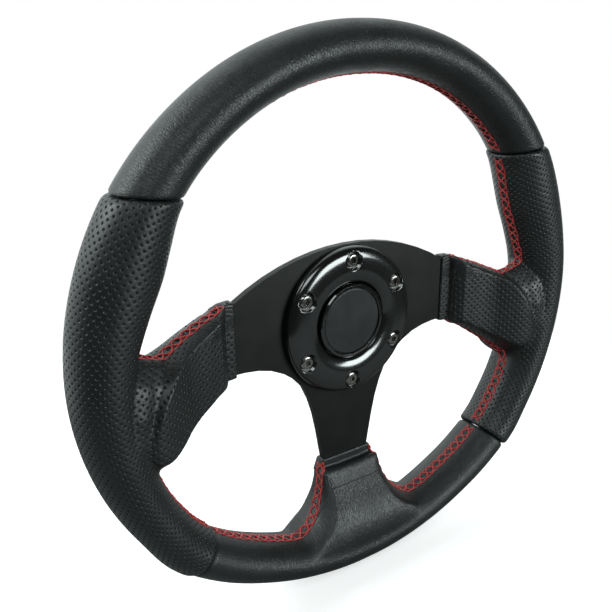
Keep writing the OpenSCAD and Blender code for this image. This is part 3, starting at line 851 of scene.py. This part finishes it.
def leather(name, perforated):
    """Black hide. Its creases run around the rim, so they follow the hide's own coordinates."""
    mat, tree, shader = material(name)
    n = Nodes(tree)
    place = n.position()
    hide = n.put("ShaderNodeAttribute", attribute_name="hide").outputs["Vector"]
    split = n.put("ShaderNodeSeparateXYZ", {0: hide})
    u, v = split.outputs[0], split.outputs[1]
    warp = n.noise(place, 60, 2)
    stretched = n.put("ShaderNodeCombineXYZ", {0: n.math("ADD", u, n.math("MULTIPLY", warp, 3.0)),
                                               1: n.math("MULTIPLY", v, 0.24), 2: warp}).outputs[0]
    crease = n.ramp(n.to_cell_edge(stretched, 0.95), 0.0, 0.16)
    ripple = n.noise(stretched, 1.5, 3, 0.6)
    pebble_with_valley_shade = n.ramp(n.to_cell_edge(place, 1500), 0.0, 0.35)
    mottling = n.noise(place, 45, 3)
    tone = n.ramp(mottling, 0.3, 0.7)
    base = n.mix(tone, grey(0.016, COOL), grey(0.023, COOL))
    # Between the pebbles the hide is painted darker, which is painted shade in the grain's valleys; there
    # it is also rougher and bumped lower.
    base = n.mix(pebble_with_valley_shade, grey(0.008, COOL), base)
    rough = n.ramp(mottling, 0.3, 0.7, 0.29, 0.38)
    rough = n.math("ADD", rough, n.math("MULTIPLY", n.math("SUBTRACT", 1.0, pebble_with_valley_shade), 0.12))
    normal = n.bump(pebble_with_valley_shade, 0.018)
    if not perforated:
        height = n.math("ADD", n.math("MULTIPLY", crease, 0.6), n.math("MULTIPLY", ripple, 1.0))
        normal = n.bump(height, 0.13, normal)
    else:
        normal = n.bump(ripple, 0.04, normal)
        q1 = n.math("DIVIDE", n.math("ADD", u, v), PORE_CELL)
        q2 = n.math("DIVIDE", n.math("SUBTRACT", u, v), PORE_CELL)
        f1 = n.math("SUBTRACT", q1, n.math("ROUND", q1))
        f2 = n.math("SUBTRACT", q2, n.math("ROUND", q2))
        d = n.math("MULTIPLY", n.math("SQRT", n.math("ADD", n.math("MULTIPLY", f1, f1),
                                                       n.math("MULTIPLY", f2, f2))), PORE_PITCH)
        # Each pore's colour is painted near-black, which is painted shade inside the hole; the pore is also
        # rougher and ringed by a bump.
        pore_with_painted_shade = n.math("MULTIPLY", n.ramp(d, PORE_R - 0.1, PORE_R + 0.08, 1.0, 0.0), split.outputs[2])
        lip = n.math("MULTIPLY", n.ramp(d, PORE_R - 0.1, PORE_R + 0.32, -1.0, 0.0), split.outputs[2])
        base = n.mix(pore_with_painted_shade, base, grey(0.001))
        rough = n.math("ADD", rough, n.math("MULTIPLY", pore_with_painted_shade, 0.5))
        normal = n.bump(lip, 0.16, normal)
    tree.links.new(base, shader.inputs["Base Color"])
    tree.links.new(rough, shader.inputs["Roughness"])
    tree.links.new(normal, shader.inputs["Normal"])
    shader.inputs["Specular IOR Level"].default_value = 0.5
    return mat


def thread_material():
    """Red thread, twisted, with a worn shade here and there."""
    mat, tree, shader = material("red_thread_look")
    n = Nodes(tree)
    place = n.position()
    twist = n.put("ShaderNodeTexWave", {"Vector": place, "Scale": 900.0, "Distortion": 2.0},
                  bands_direction="DIAGONAL").outputs["Fac"]
    shade = n.noise(place, 180, 3)
    base = n.mix(shade, (0.34, 0.005, 0.005, 1), (0.66, 0.013, 0.010, 1))
    base = n.mix(n.math("MULTIPLY", twist, 0.35), base, (0.12, 0.001, 0.002, 1))
    tree.links.new(base, shader.inputs["Base Color"])
    tree.links.new(n.ramp(shade, 0, 1, 0.42, 0.6), shader.inputs["Roughness"])
    tree.links.new(n.bump(twist, 0.08), shader.inputs["Normal"])
    shader.inputs["Sheen Weight"].default_value = 0.25
    return mat


def metal_or_plastic(name, low, high, rough_low, rough_high, metallic=0.0, scale=60.0, brushed=None,
                     bump_mm=0.004, coat=0.0, tint=(1.0, 1.0, 1.0), bevel_mm=0.0, ior=1.5):
    """Finish with a mottled tone, smudges in its gloss, fine scratches and eased edges."""
    mat, tree, shader = material(name)
    n = Nodes(tree)
    place = n.position()
    grain = n.scaled(place, brushed) if brushed else place
    cloud = n.noise(place, scale, 5)
    scratch = n.noise(grain, scale * 22, 3, 0.7)
    base = n.mix(n.ramp(cloud, 0.25, 0.75), grey(low, tint), grey(high, tint))
    both = n.math("ADD", n.math("MULTIPLY", cloud, 0.5), n.math("MULTIPLY", scratch, 0.5))
    tree.links.new(base, shader.inputs["Base Color"])
    tree.links.new(n.ramp(both, 0.3, 0.7, rough_low, rough_high), shader.inputs["Roughness"])
    rounded = None
    if bevel_mm:
        rounded = n.put("ShaderNodeBevel", {"Radius": bevel_mm * MM}, samples=4).outputs[0]
    tree.links.new(n.bump(scratch, bump_mm, rounded), shader.inputs["Normal"])
    shader.inputs["Metallic"].default_value = metallic
    shader.inputs["IOR"].default_value = ior
    shader.inputs["Coat Weight"].default_value = coat
    shader.inputs["Coat Roughness"].default_value = 0.04
    return mat


def assign(obj, mat):
    obj.data.materials.clear()
    obj.data.materials.append(mat)


def dress_cad(nodes, mat):
    """Gives CAD nodes a material. Their meshes stay as they are."""
    for name in nodes:
        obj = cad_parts[name]
        if not obj.material_slots:
            obj.data.materials.append(mat)
        for slot in obj.material_slots:
            slot.link = "OBJECT"
            slot.material = mat


# ---- Scene ----

CAMERA_AT = (-237.62, -315.47, 148.11)
CAMERA_FORWARD = (0.52703, 0.77975, -0.33798)
CAMERA_UP = (0.19926, 0.27323, 0.94109)
CAMERA_LENS = 43.87


def make_camera():
    """Stands to the driver's left and a little above, close to the wheel."""
    data = bpy.data.cameras.new("camera")
    data.sensor_width = 36.0
    data.lens = CAMERA_LENS
    cam = bpy.data.objects.new("camera", data)
    bpy.context.scene.collection.objects.link(cam)
    forward = Vector(CAMERA_FORWARD).normalized()
    right = forward.cross(Vector(CAMERA_UP)).normalized()
    up = right.cross(forward)
    turn = Matrix((right, up, -forward)).transposed().to_4x4()
    cam.matrix_world = Matrix.Translation(Vector(CAMERA_AT) * MM) @ turn
    data.clip_start = 0.01
    bpy.context.scene.camera = cam


def soft_box(name, azimuth, height, distance, width, tall, radiance):
    """Rectangular soft light that faces the wheel. Azimuth runs from straight in front toward +X."""
    data = bpy.data.lights.new(name, "AREA")
    data.shape = "RECTANGLE"
    data.size, data.size_y = width, tall
    data.energy = radiance * math.pi * width * tall
    data.color = STUDIO_TINT
    lamp = bpy.data.objects.new(name, data)
    bpy.context.scene.collection.objects.link(lamp)
    az, el = math.radians(azimuth), math.radians(height)
    way = Vector((math.sin(az) * math.cos(el), -math.cos(az) * math.cos(el), math.sin(el)))
    lamp.location = way * distance
    lamp.rotation_euler = (-way).to_track_quat("-Z", "Y").to_euler()


def make_studio():
    """White backdrop behind the wheel, a darker room in front of it, and three soft boxes.

    The floor looks white to the camera and grey to the wheel, so that it throws little light up at it.
    """
    world = bpy.data.worlds.new("studio")
    bpy.context.scene.world = world
    world.use_nodes = True
    tree = world.node_tree
    n = Nodes(tree)
    back = tree.nodes["Background"]
    white = (1.0, 1.0, 1.0, 1.0)
    direction = n.put("ShaderNodeTexCoord").outputs["Generated"]
    behind = n.put("ShaderNodeSeparateXYZ", {0: direction}).outputs[1]
    room = n.ramp(behind, -0.1, 0.8, 0.045, 1.3)
    seen = n.put("ShaderNodeLightPath").outputs["Is Camera Ray"]
    strength = n.math("ADD", n.math("MULTIPLY", room, n.math("SUBTRACT", 1.0, seen)), seen)
    tree.links.new(strength, back.inputs[1])
    tree.links.new(n.mix(seen, (*STUDIO_TINT, 1.0), white), back.inputs[0])

    low = min(v.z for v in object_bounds())
    rim = [(FLOOR_R * math.cos(w), FLOOR_R * math.sin(w), (low - 0.0005) / MM)
           for w in np.linspace(0, 2 * np.pi, 96, endpoint=False)]
    floor = mesh_object("floor", rim, [tuple(range(96))], smooth=False)
    mat, tree, shader = material("floor_look")
    n = Nodes(tree)
    tone = n.noise(n.position(), 3, 3)
    seen = n.put("ShaderNodeLightPath").outputs["Is Camera Ray"]
    tree.links.new(n.mix(seen, grey(0.25), n.mix(tone, grey(0.9), grey(0.94))), shader.inputs["Base Color"])
    shader.inputs["Emission Color"].default_value = grey(1.0)
    tree.links.new(n.math("MULTIPLY", seen, 0.55), shader.inputs["Emission Strength"])
    shader.inputs["Roughness"].default_value = 0.9
    shader.inputs["Specular IOR Level"].default_value = 0.0
    assign(floor, mat)
    floor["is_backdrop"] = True
    soft_box("key", 27, 8, 1.3, 0.75, 0.56, 10.0)
    soft_box("upper_left", -40, 44, 1.3, 0.7, 0.5, 4.0)
    soft_box("left_behind", -118, 34, 1.4, 0.7, 0.7, 6.5)
    bpy.context.scene.view_settings.view_transform = "Standard"


def make_leather():
    """Covers, lacing and foam. The left grip is the right one, mirrored."""
    smooth = leather("smooth_leather_look", False)
    punched = leather("perforated_leather_look", True)
    red = thread_material()

    grip, grip_skin, grip_room = grip_cover()
    assign(grip, punched)
    grip_laces = lacing("right_lacing", grip_seams(), grip_skin)
    assign(grip_laces, red)
    left_grip = mirrored(grip, "left_grip_leather")
    left_laces = mirrored(grip_laces, "left_lacing")
    lower, lower_skin, lower_room = lower_cover()
    assign(lower, smooth)
    lower_laces = lacing("lower_lacing", lower_seams(), lower_skin)
    assign(lower_laces, red)
    top, top_skin, top_room = top_cover()
    assign(top, smooth)
    end = UPPER_JOINT[1] + 0.9
    top_laces = lacing("top_lacing", [rim_seam(end, 180 - end)], top_skin)
    assign(top_laces, red)

    left_room = [(-x, y, z) for x, y, z in grip_room[0]], [face[::-1] for face in grip_room[1]]
    foam = mesh_object("foam_filling", *joined(grip_room, left_room, lower_room, top_room))
    assign(foam, metal_or_plastic("foam_look", 0.02, 0.04, 0.8, 0.95, bump_mm=0.2))

    for obj, node, slot in ((foam, "foam_padding", "foam"),
                            (grip, "right_grip_cover", "perforated_leather"),
                            (left_grip, "left_grip_cover", "perforated_leather"),
                            (lower, "lower_cover", "smooth_leather"),
                            (top, "top_cover", "smooth_leather"),
                            (grip_laces, "right_stitching", "red_thread"),
                            (left_laces, "left_stitching", "red_thread"),
                            (lower_laces, "lower_stitching", "red_thread"),
                            (top_laces, "top_stitching", "red_thread")):
        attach(obj, "wheel")
        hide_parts(node)


def make_hub():
    """Trim ring, and the horn's spring."""
    spring = horn_spring()
    assign(spring, metal_or_plastic("spring_steel_look", 0.36, 0.5, 0.22, 0.36, metallic=1.0))
    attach(spring, "wheel")
    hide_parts("horn_spring")
    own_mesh(spring)
    ring = trim_ring()
    assign(ring, metal_or_plastic("gloss_ring_look", 0.003, 0.005, 0.13, 0.18, scale=30, bump_mm=0.0006,
                                  ior=1.9, tint=COOL))
    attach(ring, "wheel")
    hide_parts("trim_ring")


def dress_hard_parts():
    """Finishes of the pieces that keep their CAD shapes."""
    dress_cad(["spoke_plate"],
              metal_or_plastic("anodised_look", 0.003, 0.005, 0.36, 0.46, ior=1.36,
                               brushed=(0.05, 1, 1), bump_mm=0.012, bevel_mm=0.5))
    dress_cad(["hub_screws"],
              metal_or_plastic("black_chrome_look", 0.26, 0.38, 0.10, 0.20, metallic=1.0,
                               bevel_mm=0.15, tint=(1.0, 0.97, 0.92)))
    dress_cad(["horn_button"],
              metal_or_plastic("gloss_button_look", 0.003, 0.005, 0.08, 0.14, scale=30,
                               bump_mm=0.0004, coat=1.0, bevel_mm=0.2, ior=1.6, tint=COOL))
    dress_cad(["button_face"],
              metal_or_plastic("satin_face_look", 0.010, 0.014, 0.30, 0.38, scale=80,
                               bump_mm=0.003, bevel_mm=0.2, tint=COOL))
    dress_cad(["horn_housing"],
              metal_or_plastic("moulded_look", 0.010, 0.016, 0.45, 0.6, bump_mm=0.02, bevel_mm=0.3))
    dress_cad(["rim_core", "left_lug", "right_lug", "lower_lug", "lug_rivets"],
              metal_or_plastic("mild_steel_look", 0.32, 0.48, 0.3, 0.5, metallic=1.0, bevel_mm=0.2))
    dress_cad(["contact_plate", "spring_seat", "fixed_contact", "live_terminal", "earth_terminal",
               "contact_rivets"],
              metal_or_plastic("brass_look", 0.55, 0.75, 0.22, 0.4, metallic=1.0, tint=(1.0, 0.76, 0.40),
                               bevel_mm=0.1))
    dress_cad(["contact_base"],
              metal_or_plastic("phenolic_look", 0.10, 0.18, 0.4, 0.6, tint=(1.0, 0.45, 0.22),
                               bump_mm=0.01))


make_camera()
make_leather()
make_hub()
dress_hard_parts()
make_studio()
